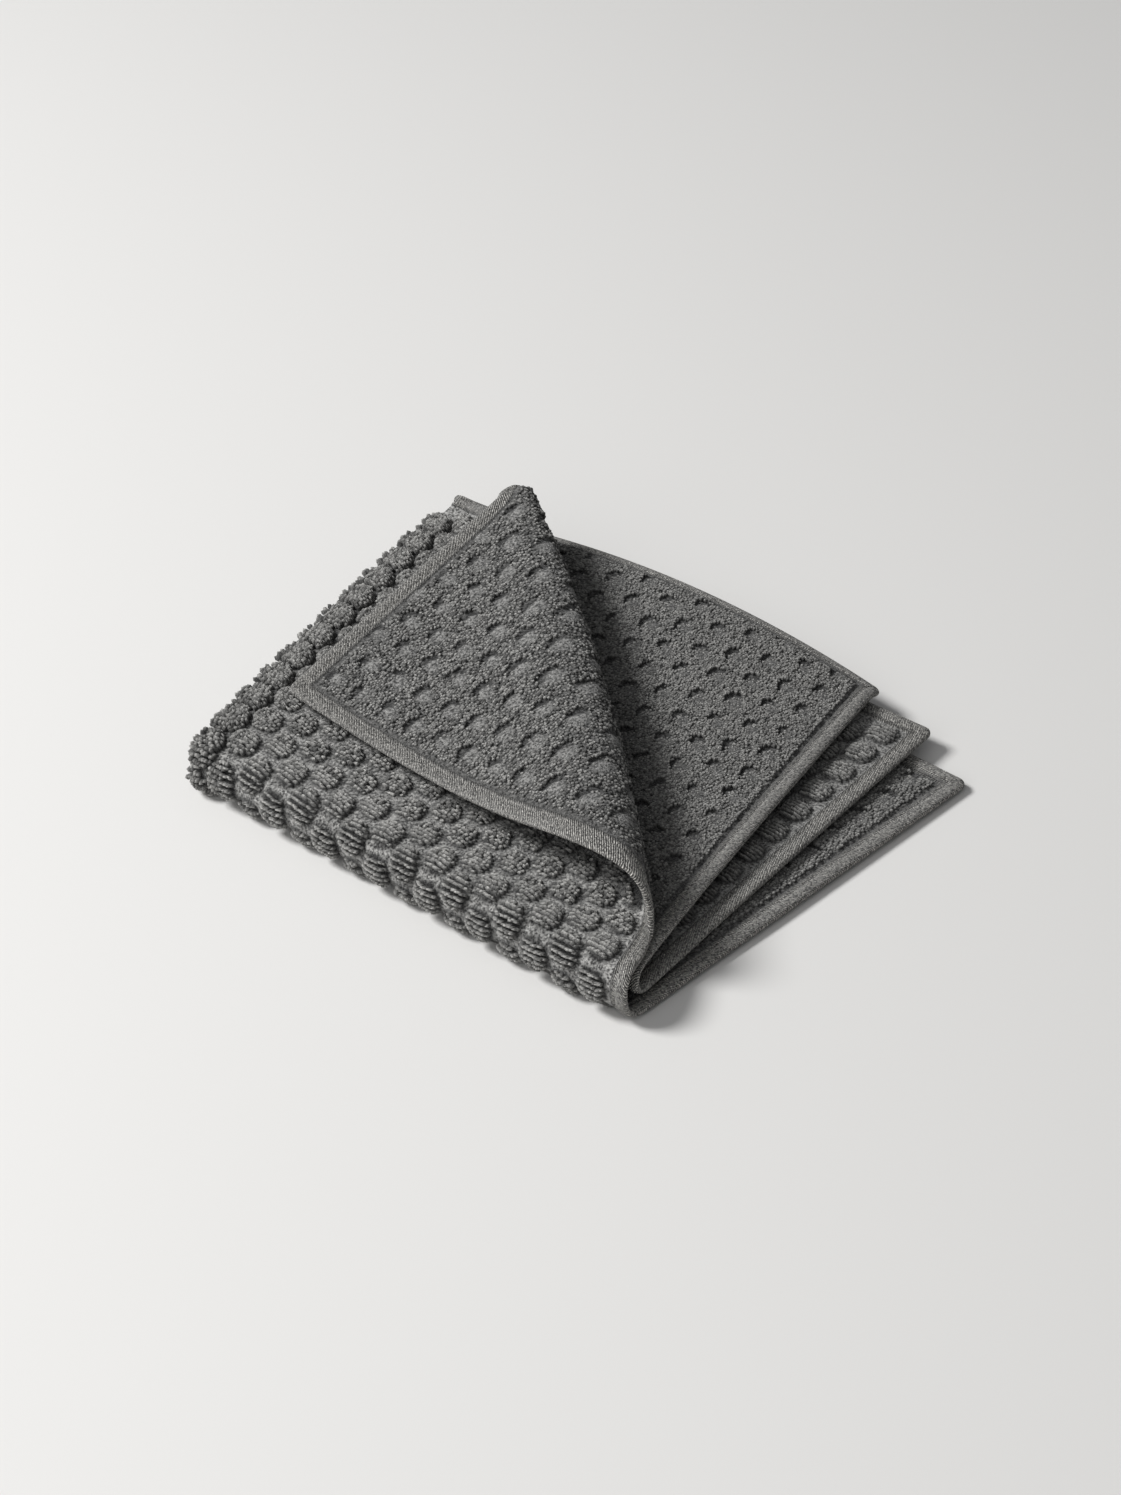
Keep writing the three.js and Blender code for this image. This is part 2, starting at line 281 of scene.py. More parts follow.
def turn_columns(lengths, widths):
    """Columns of the first fold's turn: straight out from one thread, around, and back."""
    outer = thread(TURN_HALF, lengths)
    inner = thread(-TURN_HALF, lengths)
    middle = (outer + inner) / 2
    half = (outer - inner) / 2
    way = unit(np.gradient(middle, axis=0))
    radius = np.linalg.norm(np.cross(np.cross(half, way), OUTWARD), axis=1)
    leg = np.maximum(TURN_HALF - math.pi / 2 * radius, 0)
    columns = []
    for width in widths:
        turn = math.pi / 2 * np.clip(1 - width / (TURN_HALF - leg), 0, 2)
        out = np.minimum(TURN_HALF - abs(width), leg) + radius * np.sin(turn)
        columns.append(middle + half * np.cos(turn)[:, None] + OUTWARD * out[:, None])
    return columns


def droop(lengths, widths):
    """How far the third layer's end hem hangs below its rails, past what it lies on."""
    past = np.clip((lengths - DROOP_START) / (HALF_LENGTH - DROOP_START), 0, 1)
    return DROOP * past**DROOP_CURVE * np.clip(-widths / TURN_HALF, 0, 1)


def pile_rooms(along, across, normal, lengths, widths):
    """How high the pile may stand on each side before a bend's two halves meet."""
    bend_along = dot(np.gradient(along, lengths, axis=0), normal)
    bend_across = dot(np.gradient(across, widths, axis=1), normal)
    bend_mixed = dot(np.gradient(along, widths, axis=1), normal)
    size_along, size_across = dot(along, along), dot(across, across)
    skew = dot(along, across)
    area = np.maximum(size_along * size_across - skew * skew, LEAST_AREA)
    bent = size_along * bend_across - 2 * skew * bend_mixed + size_across * bend_along
    mean = bent / (2 * area)
    gauss = (bend_along * bend_across - bend_mixed**2) / area
    spread = np.sqrt(np.maximum(mean**2 - gauss, 0))
    plain_room = CRUSH / np.maximum(mean + spread, LEAST_BEND)
    dots_room = CRUSH / np.maximum(spread - mean, LEAST_BEND)
    return plain_room, dots_room


def cloth_table(lengths, widths):
    """On a grid: the cloth's middle, its normal out of the plain side, its way along, rooms."""
    in_turn = np.abs(widths) < TURN_HALF
    turned = iter(turn_columns(lengths, widths[in_turn]))
    columns = [
        next(turned) if bent else thread(width, lengths)
        for width, bent in zip(widths, in_turn)
    ]
    middle = np.stack(columns, axis=1)
    middle[..., 2] -= droop(lengths[:, None], widths)
    along = np.gradient(middle, lengths, axis=0)
    across = np.gradient(middle, widths, axis=1)
    normal = unit(np.cross(along, across))
    plain_room, dots_room = pile_rooms(along, across, normal, lengths, widths)
    return np.concatenate(
        [middle, normal, unit(along), plain_room[..., None], dots_room[..., None]], axis=2
    )


def table_widths():
    """Places across the cloth: even ones, and closer ones around the first fold."""
    side = np.arange(TURN_HALF + TABLE_STEP, HALF_WIDTH + TABLE_STEP / 2, TABLE_STEP)
    turn_end = TURN_HALF + TURN_MARGIN
    turn = np.arange(-turn_end, turn_end + TURN_STEP / 2, TURN_STEP)
    return np.concatenate([-side[::-1], turn, side])


TABLE_LENGTHS = np.arange(-HALF_LENGTH, HALF_LENGTH + TABLE_STEP / 2, TABLE_STEP)
TABLE_WIDTHS = table_widths()
TABLE = cloth_table(TABLE_LENGTHS, TABLE_WIDTHS)
STRETCH_WIDTHS = TABLE_WIDTHS[np.abs(TABLE_WIDTHS) >= TURN_HALF]
STRETCH = np.array([thread_samples(width)[1][-1] / (2 * HALF_LENGTH) for width in STRETCH_WIDTHS])


def cloth_at(lengths, widths):
    """Middle, normal, way along and room on both sides, at any places on the cloth."""
    rows, columns, _ = TABLE.shape
    row = np.minimum(np.interp(lengths, TABLE_LENGTHS, np.arange(rows)), rows - LAST_CELL)
    column = np.minimum(np.interp(widths, TABLE_WIDTHS, np.arange(columns)), columns - LAST_CELL)
    i, j = row.astype(int), column.astype(int)
    down, over = (row - i)[..., None], (column - j)[..., None]
    near = TABLE[i, j] * (1 - over) + TABLE[i, j + 1] * over
    far = TABLE[i + 1, j] * (1 - over) + TABLE[i + 1, j + 1] * over
    found = near * (1 - down) + far * down
    plain_room, dots_room = found[..., 9], found[..., 10]
    return found[..., :3], unit(found[..., 3:6]), unit(found[..., 6:9]), plain_room, dots_room


def to_frame(points):
    """From millimetres at the near corner to metres in the part's frame, on the floor."""
    moved = points - np.array([FOOTPRINT[0], FOOTPRINT[1], 0.0])
    moved[..., 2] = np.maximum(moved[..., 2], FLOOR_GAP)
    return moved * MM


# The pattern on the cloth


def fold_slip(lengths, widths):
    """How far the layers have slipped along the first fold, past the main one."""
    fade = 1 - smooth(TURN_HALF, SLIP_REACH, np.abs(widths))
    side = np.clip(widths / TURN_HALF, -1, 1) * fade
    return FOLD_SLIP * side * smooth(*SLIP_BEGINS, lengths)


def pattern_length(lengths, widths):
    """Where a place is along the pattern, which a thread's stretch doesn't change."""
    laid = (lengths + HALF_LENGTH) * np.interp(widths, STRETCH_WIDTHS, STRETCH) - HALF_LENGTH
    return laid - fold_slip(lengths, widths)


def cloth_length(pattern, widths):
    """The reverse of pattern_length."""
    stretch = np.interp(widths, STRETCH_WIDTHS, STRETCH)
    lengths = pattern
    for _ in range(SLIP_PASSES):
        lengths = (pattern + fold_slip(lengths, widths) + HALF_LENGTH) / stretch - HALF_LENGTH
    return lengths


def edge_distance(lengths, widths):
    return np.minimum(HALF_LENGTH - np.abs(lengths), HALF_WIDTH - np.abs(widths))


def drawn_over(widths):
    """Where a place is across the pattern, which is drawn over a little at the first fold."""
    return widths - DOT_DRIFT * (smooth(*DRIFT_BEGINS, widths) - smooth(*DRIFT_ENDS, widths))


def nearest_dot(pattern, widths):
    """How far a place is from the middle of the nearest dot, along the cloth and across it."""
    offsets = []
    for shift in (0.0, 0.5):
        along = pattern / DOT_PITCH_LENGTH - shift
        across = drawn_over(widths) / DOT_PITCH_WIDTH - shift
        off_along = (along - np.round(along)) * DOT_PITCH_LENGTH
        off_across = (across - np.round(across)) * DOT_PITCH_WIDTH
        offsets.append((off_along, off_across))
    one, other = offsets
    nearer = other[0] ** 2 + other[1] ** 2 < one[0] ** 2 + one[1] ** 2
    return np.where(nearer, other[0], one[0]), np.where(nearer, other[1], one[1])


def of_its_own(pattern, widths, kind):
    """A number from -1 to 1 that each dot, patch or cleft has for itself."""
    off_along, off_across = nearest_dot(pattern, widths)
    row = np.round((pattern - off_along) * 2 / DOT_PITCH_LENGTH).astype(int)
    column = np.round((drawn_over(widths) - off_across) * 2 / DOT_PITCH_WIDTH).astype(int)
    return OWN_NUMBERS[kind, row % OWN_COUNT, column % OWN_COUNT]


def near_first_fold(widths):
    return 1 - smooth(*FIRST_FOLD_FADE, np.abs(widths))


def dot_share(pattern, widths):
    """0 at a dot's middle and 1 at its rim. Dots too near the hem are left out."""
    off_along, off_across = nearest_dot(pattern, widths)
    middle = widths - off_across
    swell = 1 + DOT_SWELL * near_first_fold(middle)
    along = np.abs(off_along / (DOT_HALF_LENGTH * swell)) ** DOT_ROUND
    across = np.abs(off_across / (DOT_HALF_WIDTH * swell)) ** DOT_ROUND
    share = (along + across) ** (1 / DOT_ROUND)
    edge = edge_distance(cloth_length(pattern - off_along, widths), middle)
    return np.where(edge < DOT_EDGE_ROOM, LEFT_OUT, share)


def dots_height(pattern, widths):
    """Height of the dots' loops, which stand out more where a fold opens them."""
    share = np.minimum(dot_share(pattern, widths), 1)
    main_fold = (1 - smooth(*MAIN_FOLD_FADE, np.abs(pattern - MAIN_FOLD))) * (widths > 0)
    opened = (DOT_OPENED - 1) * near_first_fold(widths)
    fanned = 1 + np.maximum(opened, (DOT_FANNED - 1) * main_fold)
    return DOT_GROUND + (DOT_TOP * fanned - DOT_GROUND) * (1 - share**DOT_DOME) ** 0.5


def cleft_way(pattern, widths):
    """Which side of its patch a cleft is on, as an angle from the cloth's length."""
    outer = widths > 0
    lowest = outer & (pattern < 0)
    way = np.where(lowest, CLEFT_LOWEST, np.where(outer, CLEFT_FLAP, CLEFT_THIRD))
    return way + CLEFT_SWING * of_its_own(pattern, widths, OWN_WAY)


def cleft(pattern, widths, outward=0.0):
    """1 in the cleft at one side of each patch of the plain side, 0 outside it. The cleft is
    sunk, and painted dark with shade.
    """
    off_along, off_across = nearest_dot(pattern, widths)
    turn = np.arctan2(off_across, off_along) - cleft_way(pattern, widths)
    turn = np.abs(np.mod(turn + math.pi, 2 * math.pi) - math.pi)
    half_turn = CLEFT_TURN + TURN_STRAYS * of_its_own(pattern, widths, OWN_TURN)
    gap = GAP_STRAYS * of_its_own(pattern, widths, OWN_GAP)
    radius = PATCH_RADIUS + CLEFT_GAP + outward + gap
    thick = CLEFT_HALF * np.sqrt(np.maximum(1 - (turn / half_turn) ** 2, 0)) + CLEFT_TIP
    return 1 - smooth(*CLEFT_FADE, np.abs(np.hypot(off_along, off_across) - radius) / thick)


def plain_patch(pattern, widths):
    """1 in the plain side's smooth patches, 0 in the pile around them."""
    from_middle = np.hypot(*nearest_dot(pattern, widths))
    return 1 - smooth(PATCH_RADIUS - PATCH_RIM, PATCH_RADIUS, from_middle)


# The sheet's faces


def core_height(pattern, widths, side):
    """Height of the cloth that the loops stand in, over the middle of the cloth."""
    if side > 0:
        lift = (PLAIN_PATCH - PLAIN_CORE) * plain_patch(pattern, widths)
        return PLAIN_CORE + lift - CLEFT_DEPTH * cleft(pattern, widths)
    share = np.minimum(dot_share(pattern, widths), 1)
    return DOT_GROUND + (DOT_CORE - DOT_GROUND) * (1 - share**CORE_DOME)


def hem_height(edge):
    """Half the hem's thickness, from the cloth's edge inward."""
    across = np.clip(edge / ROLL_WIDTH, 0, 1) * 2 - 1
    return EDGE_THIN + (HEM_THICK - EDGE_THIN) * np.sqrt(np.maximum(1 - across**2, 0))


def mitre(lengths, widths):
    """1 in the crease where two hems meet at a corner, 0 off it."""
    from_end = HALF_LENGTH - np.abs(lengths)
    from_side = HALF_WIDTH - np.abs(widths)
    inside = np.maximum(from_end, from_side) < ROLL_WIDTH
    return inside * (1 - smooth(*MITRE_FADE, np.abs(from_end - from_side)))


def face_height(lengths, widths, side):
    """Height of the cloth's face: side 1 is the plain one, side -1 the dotted one."""
    edge = edge_distance(lengths, widths)
    core = core_height(pattern_length(lengths, widths), widths, side)
    flat = EDGE_THIN + HEM_FLAT * smooth(ROLL_WIDTH, ROLL_WIDTH + ROLL_FADE, edge)
    seam = SEAM_DEPTH * (1 - smooth(*SEAM_FADE, np.abs(edge - SEAM)))
    field = flat - seam + (core - flat) * smooth(SEAM + PILE_RISE, SEAM_END, edge)
    crease = MITRE_DEPTH * mitre(lengths, widths)
    return np.where(edge < ROLL_WIDTH, hem_height(edge) - crease, field)


def build_mesh(name, points, *face_groups):
    """A mesh from arrays, shaded smooth. Each group holds faces of one number of corners."""
    mesh = bpy.data.meshes.new(name)
    corners = np.concatenate([faces.ravel() for faces in face_groups]).astype(np.int32)
    totals = np.concatenate([np.full(len(faces), faces.shape[1]) for faces in face_groups])
    totals = totals.astype(np.int32)
    starts = np.concatenate([[0], np.cumsum(totals)[:-1]]).astype(np.int32)
    mesh.vertices.add(len(points))
    mesh.vertices.foreach_set("co", points.astype(np.float32).ravel())
    mesh.loops.add(len(corners))
    mesh.loops.foreach_set("vertex_index", corners)
    mesh.polygons.add(len(totals))
    mesh.polygons.foreach_set("loop_start", starts)
    mesh.polygons.foreach_set("loop_total", totals)
    mesh.polygons.foreach_set("use_smooth", np.ones(len(totals), bool))
    mesh.update(calc_edges=True)
    mesh.validate()
    piece = bpy.data.objects.new(name, mesh)
    bpy.context.scene.collection.objects.link(piece)
    return piece


def store_values(piece, shade, lengths, widths):
    """Keeps each point's shade, which holds painted shade and light, and its place on the flat
    cloth with the mesh.
    """
    mesh = piece.data
    shades = mesh.attributes.new("shade", "FLOAT", "POINT")
    shades.data.foreach_set("value", shade.astype(np.float32))
    corners = np.zeros(len(mesh.loops), np.int32)
    mesh.loops.foreach_get("vertex_index", corners)
    flat = np.stack([lengths[corners], widths[corners]], axis=1) * MM
    mesh.uv_layers.new(name="flat").data.foreach_set("uv", flat.astype(np.float32).ravel())


def stations(half, step):
    """Places across the cloth: close together at its hems, even between them."""
    left = -half + np.array(HEM_STATIONS)
    count = int(round((2 * half - 2 * HEM_STATIONS[-1]) / step))
    inner = np.linspace(left[-1], -left[-1], count + 1)[1:-1]
    return np.concatenate([left, inner, -left[::-1]])


def rounded_corners(lengths, widths):
    """Draws the square corners of the cloth in to an arc."""
    past_end = np.abs(lengths) - (HALF_LENGTH - CORNER)
    past_side = np.abs(widths) - (HALF_WIDTH - CORNER)
    inside = (past_end > 0) & (past_side > 0)
    reach = np.maximum(np.hypot(past_end, past_side), LEAST_LENGTH)
    drawn = np.where(inside, 1 - np.maximum(past_end, past_side) / reach, 0)
    return (
        lengths - np.sign(lengths) * past_end * drawn,
        widths - np.sign(widths) * past_side * drawn,
    )


def sheet_faces(rows, columns):
    """Faces of a closed sheet of two grids and a rim, and the point that places each face."""
    count = rows * columns
    index = np.arange(count).reshape(rows, columns)
    a, b = index[:-1, :-1].ravel(), index[1:, :-1].ravel()
    c, d = index[1:, 1:].ravel(), index[:-1, 1:].ravel()
    top = np.stack([a, b, c, d], axis=1)
    bottom = np.stack([a, d, c, b], axis=1) + count
    border = np.concatenate([index[:, 0], index[-1, 1:], index[-2::-1, -1], index[0, -2:0:-1]])
    after = np.roll(border, -1)
    rim = np.stack([after, border, border + count, after + count], axis=1)
    return np.concatenate([top, bottom, rim]), np.concatenate([a, a, border])


def sheet_shades(lengths, widths, edge):
    """Painted shade and light of the plain side and of the dotted side."""
    pattern = pattern_length(lengths, widths)
    in_field = edge > SEAM
    # Painted shade along the stitched groove and in the corners' creases
    seam = 1 - smooth(*SEAM_SHADOW, np.abs(edge - SEAM))
    seam_shaded = 1 - SEAM_DARK * seam - MITRE_DARK * mitre(lengths, widths)
    seam_shaded = np.maximum(seam_shaded, SEAM_SHADE_LEAST)
    # Painted shade under the plain side's loops and in its clefts, lifted on the flap's bare
    # patches
    bare = (widths > 0) & (lengths > 0)
    patches = PATCH_LIGHT * plain_patch(pattern, widths) * bare
    piled = PILE_SHADE + patches - CLEFT_DARK * cleft(pattern, widths)
    plain = np.where(in_field, np.maximum(piled, PILE_LEAST), seam_shaded)
    # Painted shade under each dot and in the shadow at its foot
    under_dot = 1 - smooth(*DOT_SHADOW, dot_share(pattern, widths))
    between = np.where(widths > 0, BETWEEN_OUTER, BETWEEN_INNER_SHADED)
    dots = np.where(in_field, between - (between - UNDER_DOT) * under_dot, seam_shaded)
    return plain, dots


def ground_cloth():
    """The hemmed cloth itself: one closed sheet with its dots, patches, clefts and hems."""
    rows = stations(HALF_LENGTH, LENGTH_STEP)
    columns = stations(HALF_WIDTH, WIDTH_STEP)
    lengths, widths = (grid.ravel() for grid in np.meshgrid(rows, columns, indexing="ij"))
    middle, normal, _, plain_room, dots_room = cloth_at(*rounded_corners(lengths, widths))
    plain = np.minimum(face_height(lengths, widths, 1), plain_room)
    dots = np.minimum(face_height(lengths, widths, -1), dots_room)
    points = np.concatenate([middle + normal * plain[:, None], middle - normal * dots[:, None]])
    faces, places = sheet_faces(len(rows), len(columns))
    piece = build_mesh("towel_cloth", to_frame(points), faces)
    edge = edge_distance(lengths, widths)
    shades = np.concatenate(sheet_shades(lengths, widths, edge))
    store_values(piece, shades, np.tile(lengths, 2), np.tile(widths, 2))
    return piece, edge[places]


# Loops of the pile


class Loops(NamedTuple):
    """How a stretch of pile is made. Sizes are in millimetres."""

    row: float  # from row to row along the cloth
    step: float  # from loop to loop in a row
    half_row: float  # half a loop's thickness along the cloth
    half_step: float  # the same across it
    tall: float  # the height that its shoulder is worked out from, down from its tip
    jitter: float  # how unevenly the loops stand in their rows
    turn: float  # the most that a loop is turned, in radians
    spread: float  # how uneven their heights are, as a share
    tint: tuple  # darkest and lightest


DOT_ROW = DOT_PITCH_LENGTH / 9  # nine rows of loops to a pitch of the dots
OPENED_ROW = DOT_PITCH_LENGTH / 12  # closer ones over the first fold
RIBS = Loops(
    row=DOT_ROW, step=0.95, half_row=0.47, half_step=0.95, tall=2.2,
    jitter=0.14, turn=0.15, spread=0.07, tint=(0.7, 2.2),
)
# The second layer's loops, painted darker than the top layer's as shade
SHADED_SECOND_RIBS = RIBS._replace(tint=(0.6, 1.65))
FOLD_FLUFF = Loops(
    row=OPENED_ROW, step=0.86, half_row=0.7, half_step=0.8, tall=3.0,
    jitter=0.2, turn=0.8, spread=0.09, tint=(0.4, 1.95),
)
FLUFF = Loops(
    row=DOT_ROW, step=1.1, half_row=0.66, half_step=0.85, tall=2.0,
    jitter=0.24, turn=0.8, spread=0.18, tint=(0.35, 2.3),
)
FLAP_PILE = Loops(
    row=1.12, step=0.92, half_row=0.6, half_step=0.56, tall=1.3,
    jitter=0.2, turn=0.8, spread=0.3, tint=(0.25, 1.85),
)
THIRD_PILE = Loops(
    row=1.0, step=0.9, half_row=0.56, half_step=0.52, tall=1.0,
    jitter=0.17, turn=0.8, spread=0.16, tint=(0.5, 1.75),
)
LOWEST_PILE = Loops(
    row=1.2, step=1.05, half_row=0.66, half_step=0.6, tall=1.0,
    jitter=0.2, turn=0.8, spread=0.14, tint=(0.55, 1.6),
)

# One loop: a ring of points at its foot, a wider ring at its shoulder, and its tip
LOOP_SIDES = 4
LOOP_POINTS = 2 * LOOP_SIDES + 1
LOOP_ROOT = 0.6  # the highest that a foot is over the middle of the cloth
LEAST_FOOT = 0.3  # the lowest
ROOM_FILLED = 1.15  # how much of a bend's room the loops may fill
ROOM_LEAST = 0.8  # the height that even a tight bend leaves them
SHOULDER = 0.68  # how far up the shoulder is
FOOT_SIZE = 0.8  # the foot's width as a share of the shoulder's
LOOP_LEAN = 0.16  # how far a tip strays from over its foot
JITTER_ALONG = 0.5  # jitter along the cloth as a share of that in a row
# Each loop's painted shade: dark at its foot, deep in the pile, and painted light at its tip
FOOT_SHADE = 0.1
SHOULDER_SHADE = 0.62
TIP_SHADE = 1.5
LOOP_SHADES = np.array(
    [FOOT_SHADE] * LOOP_SIDES + [SHOULDER_SHADE] * LOOP_SIDES + [TIP_SHADE]
)


def loop_points(lengths, widths, side, heights, fan, loops, rng):
    """The points of every loop, one loop after another."""
    count = len(lengths)
    middle, normal, along, plain_room, dots_room = cloth_at(lengths, widths)
    out = normal * side
    across = np.cross(normal, along)
    room = plain_room if side > 0 else dots_room
    top = heights * (1 - np.abs(rng.normal(0, loops.spread, count)))
    top = np.minimum(top, np.maximum(room * ROOM_FILLED, ROOM_LEAST))
    foot = np.maximum(top - loops.tall, LEAST_FOOT)
    turn = math.pi / 4 + rng.uniform(-loops.turn, loops.turn, count)
    lean = rng.normal(0, LOOP_LEAN, (count, 2)) + fan
    rings = (
        (np.minimum(foot, LOOP_ROOT), 0.0, FOOT_SIZE),
        (foot + (top - foot) * SHOULDER, SHOULDER, 1.0),
    )
    points = []
    for height, level, size in rings:
        for k in range(LOOP_SIDES):
            angle = turn + k * math.pi / 2
            off_along = np.cos(angle) * math.sqrt(2) * loops.half_row * size
            off_along = (off_along + lean[:, 0] * level)[:, None]
            off_across = np.sin(angle) * math.sqrt(2) * loops.half_step * size
            off_across = (off_across + lean[:, 1] * level)[:, None]
            raised = middle + out * height[:, None]
            points.append(raised + along * off_along + across * off_across)
    points.append(middle + out * top[:, None] + along * lean[:, :1] + across * lean[:, 1:])
    return np.stack(points, axis=1).reshape(-1, 3)


def loop_faces(count, side):
    """Every loop's sides, and the faces from its shoulder to its tip."""
    around = [(k, (k + 1) % LOOP_SIDES) for k in range(LOOP_SIDES)]
    sides = np.array([[k, after, LOOP_SIDES + after, LOOP_SIDES + k] for k, after in around])
    tips = np.array([[LOOP_SIDES + k, LOOP_SIDES + after, 2 * LOOP_SIDES] for k, after in around])
    if side < 0:
        sides, tips = sides[:, ::-1], tips[:, ::-1]
    first = (np.arange(count) * LOOP_POINTS)[:, None, None]
    return (first + sides).reshape(-1, 4), (first + tips).reshape(-1, 3)


def loops_piece(name, lengths, widths, side, heights, fan, loops, rng):
    """Pile loops as one mesh: each is a small four-sided tuft that swells over its foot."""
    points = loop_points(lengths, widths, side, heights, fan, loops, rng)
    piece = build_mesh(name, to_frame(points), *loop_faces(len(lengths), side))
    # Each loop's random tint times its painted shade, dark at the foot and light at the tip
    shades = rng.uniform(*loops.tint, len(lengths))[:, None] * LOOP_SHADES
    places = np.repeat(lengths, LOOP_POINTS), np.repeat(widths, LOOP_POINTS)
    store_values(piece, shades.ravel(), *places)
    return piece


def loop_places(along, across, loops, rng):
    """Rows of loops over a stretch of the pattern: each one's pattern length and width."""
    first = math.ceil(along[0] / loops.row) * loops.row
    rows = np.arange(first, along[1], loops.row)
    steps = np.arange(across[0], across[1], loops.step)
    pattern, widths = np.meshgrid(rows, steps, indexing="ij")
    offset = np.where(np.arange(len(rows)) % 2 == 0, 0, loops.step / 2)[:, None]
    widths = widths + offset + rng.normal(0, loops.jitter, widths.shape)
    pattern = pattern + rng.normal(0, loops.jitter * JITTER_ALONG, pattern.shape)
    return pattern.ravel(), widths.ravel()


def dotted_zone(name, along, across, wanted, loops, seed):
    """The loops of the dots in a stretch of the cloth."""
    rng = np.random.default_rng(seed)
    pattern, widths = loop_places(along, across, loops, rng)
    lengths = cloth_length(pattern, widths)
    shows = wanted(lengths, widths, cloth_at(lengths, widths)[0])
    keep = (dot_share(pattern, widths) < DOT_RIM) & shows
    pattern, lengths, widths = pattern[keep], lengths[keep], widths[keep]
    off_along, off_across = nearest_dot(pattern, widths)
    fan = np.stack([off_along / DOT_HALF_LENGTH, -off_across / DOT_HALF_WIDTH], axis=1) * FAN
    return loops_piece(name, lengths, widths, -1, dots_height(pattern, widths), fan, loops, rng)


def plain_zone(name, along, across, wanted, loops, seed, bare_patches=False):
    """The loops of the plain side in a stretch of the cloth."""
    rng = np.random.default_rng(seed)
    pattern, widths = loop_places(along, across, loops, rng)
    lengths = cloth_length(pattern, widths)
    open_cleft = cleft(pattern, widths) > rng.uniform(*CLEFT_OPEN, len(pattern))
    inside = edge_distance(lengths, widths) > SEAM_END + PILE_ROOM
    keep = ~open_cleft & inside & wanted(lengths, widths, cloth_at(lengths, widths)[0])
    if bare_patches:
        keep &= plain_patch(pattern, widths) < PATCH_BARE
    pattern, lengths, widths = pattern[keep], lengths[keep], widths[keep]
    sunk = PATCH_SINK * (PLAIN_PATCH - PLAIN_TOP) * plain_patch(pattern, widths)
    lip = LIP_HEIGHT * cleft(pattern, widths, outward=LIP_OUT)
    return loops_piece(name, lengths, widths, 1, PLAIN_TOP + sunk + lip, 0, loops, rng)


# Where each layer shows. Places are from the near corner, as the rails' are
FLAP_EDGE = ((-6, 4), (-201.7, 33.8), (-203, 170))  # along the flap's two hems
FLAP_DEPTH = 34.0  # how far under the flap's hems the top layer still has loops
FLAP_LOWEST = 26  # the flap has loops where it lies higher than this
TOP_HIGHEST = 42  # the top layer has them where it lies lower than this
CREST_WAY = (0.644, 0.765)  # across the crest, seen from above
CREST_LINE = 9.0  # from the near corner to the crest, that way
COVER_DEPTH = 14.0  # how far under the crest's line the third layer still has loops
TOP_MARGIN = -6  # from the crest's line to the top layer's last loops before it
SECOND_SIDE = -158  # the second layer shows from here across to its side hem
SECOND_END = -172  # and from here along to its end hem
LOWEST_SIDE = 160  # the same for the lowest layer
LOWEST_END = -176


def under_flap(points):
    """How deep a place lies inside the flap's two hemmed edges."""
    depths = []
    for (x0, y0), (x1, y1) in zip(FLAP_EDGE[:-1], FLAP_EDGE[1:]):
        side = (points[:, 1] - y0) * (x1 - x0) - (points[:, 0] - x0) * (y1 - y0)
        depths.append(-side / math.hypot(x1 - x0, y1 - y0))
    return np.min(depths, axis=0)


def beyond_crest(points):
    return points[:, 0] * CREST_WAY[0] + points[:, 1] * CREST_WAY[1] - CREST_LINE


def always(lengths, widths, points):
    return np.ones(len(lengths), bool)


def top_shows(lengths, widths, points):
    low = points[:, 2] < TOP_HIGHEST
    return (under_flap(points) < FLAP_DEPTH) & low & (beyond_crest(points) < TOP_MARGIN)


def second_shows(lengths, widths, points):
    return (widths < SECOND_SIDE) | (lengths < SECOND_END)


def flap_shows(lengths, widths, points):
    return points[:, 2] > FLAP_LOWEST


def third_shows(lengths, widths, points):
    return beyond_crest(points) > -COVER_DEPTH


def lowest_shows(lengths, widths, points):
    return (widths > LOWEST_SIDE) | (lengths < LOWEST_END)


# Stretches that bear loops: along the pattern, and across the cloth
LOWER_END = -204  # past the lower end of the pattern
UPPER_END = 250  # past its upper end, on any thread
MAIN_FOLD_SPAN = (-30, 16)
BELOW_MAIN_FOLD = (LOWER_END, -8)
TOP_SPAN = (MAIN_FOLD_SPAN[1], UPPER_END)
FLAP_SPAN = (10, UPPER_END)
THIRD_PARTING = 110  # between the third layer's two pieces
THIRD_NEAR_SPAN = (8, THIRD_PARTING)
THIRD_FAR_SPAN = (THIRD_PARTING, UPPER_END)
FULL_LENGTH = (LOWER_END, UPPER_END)
SIDE_END = 208  # from the first fold to the last place beside a side hem
FIRST_FOLD_SPAN = (-26, 19)
TOP_SIDE = (FIRST_FOLD_SPAN[1], SIDE_END)
SECOND_ACROSS = (-SIDE_END, FIRST_FOLD_SPAN[0])
FLAP_ACROSS = (50, SIDE_END)
THIRD_ACROSS = (-SIDE_END, -10)
LOWEST_ACROSS = (10, SIDE_END)

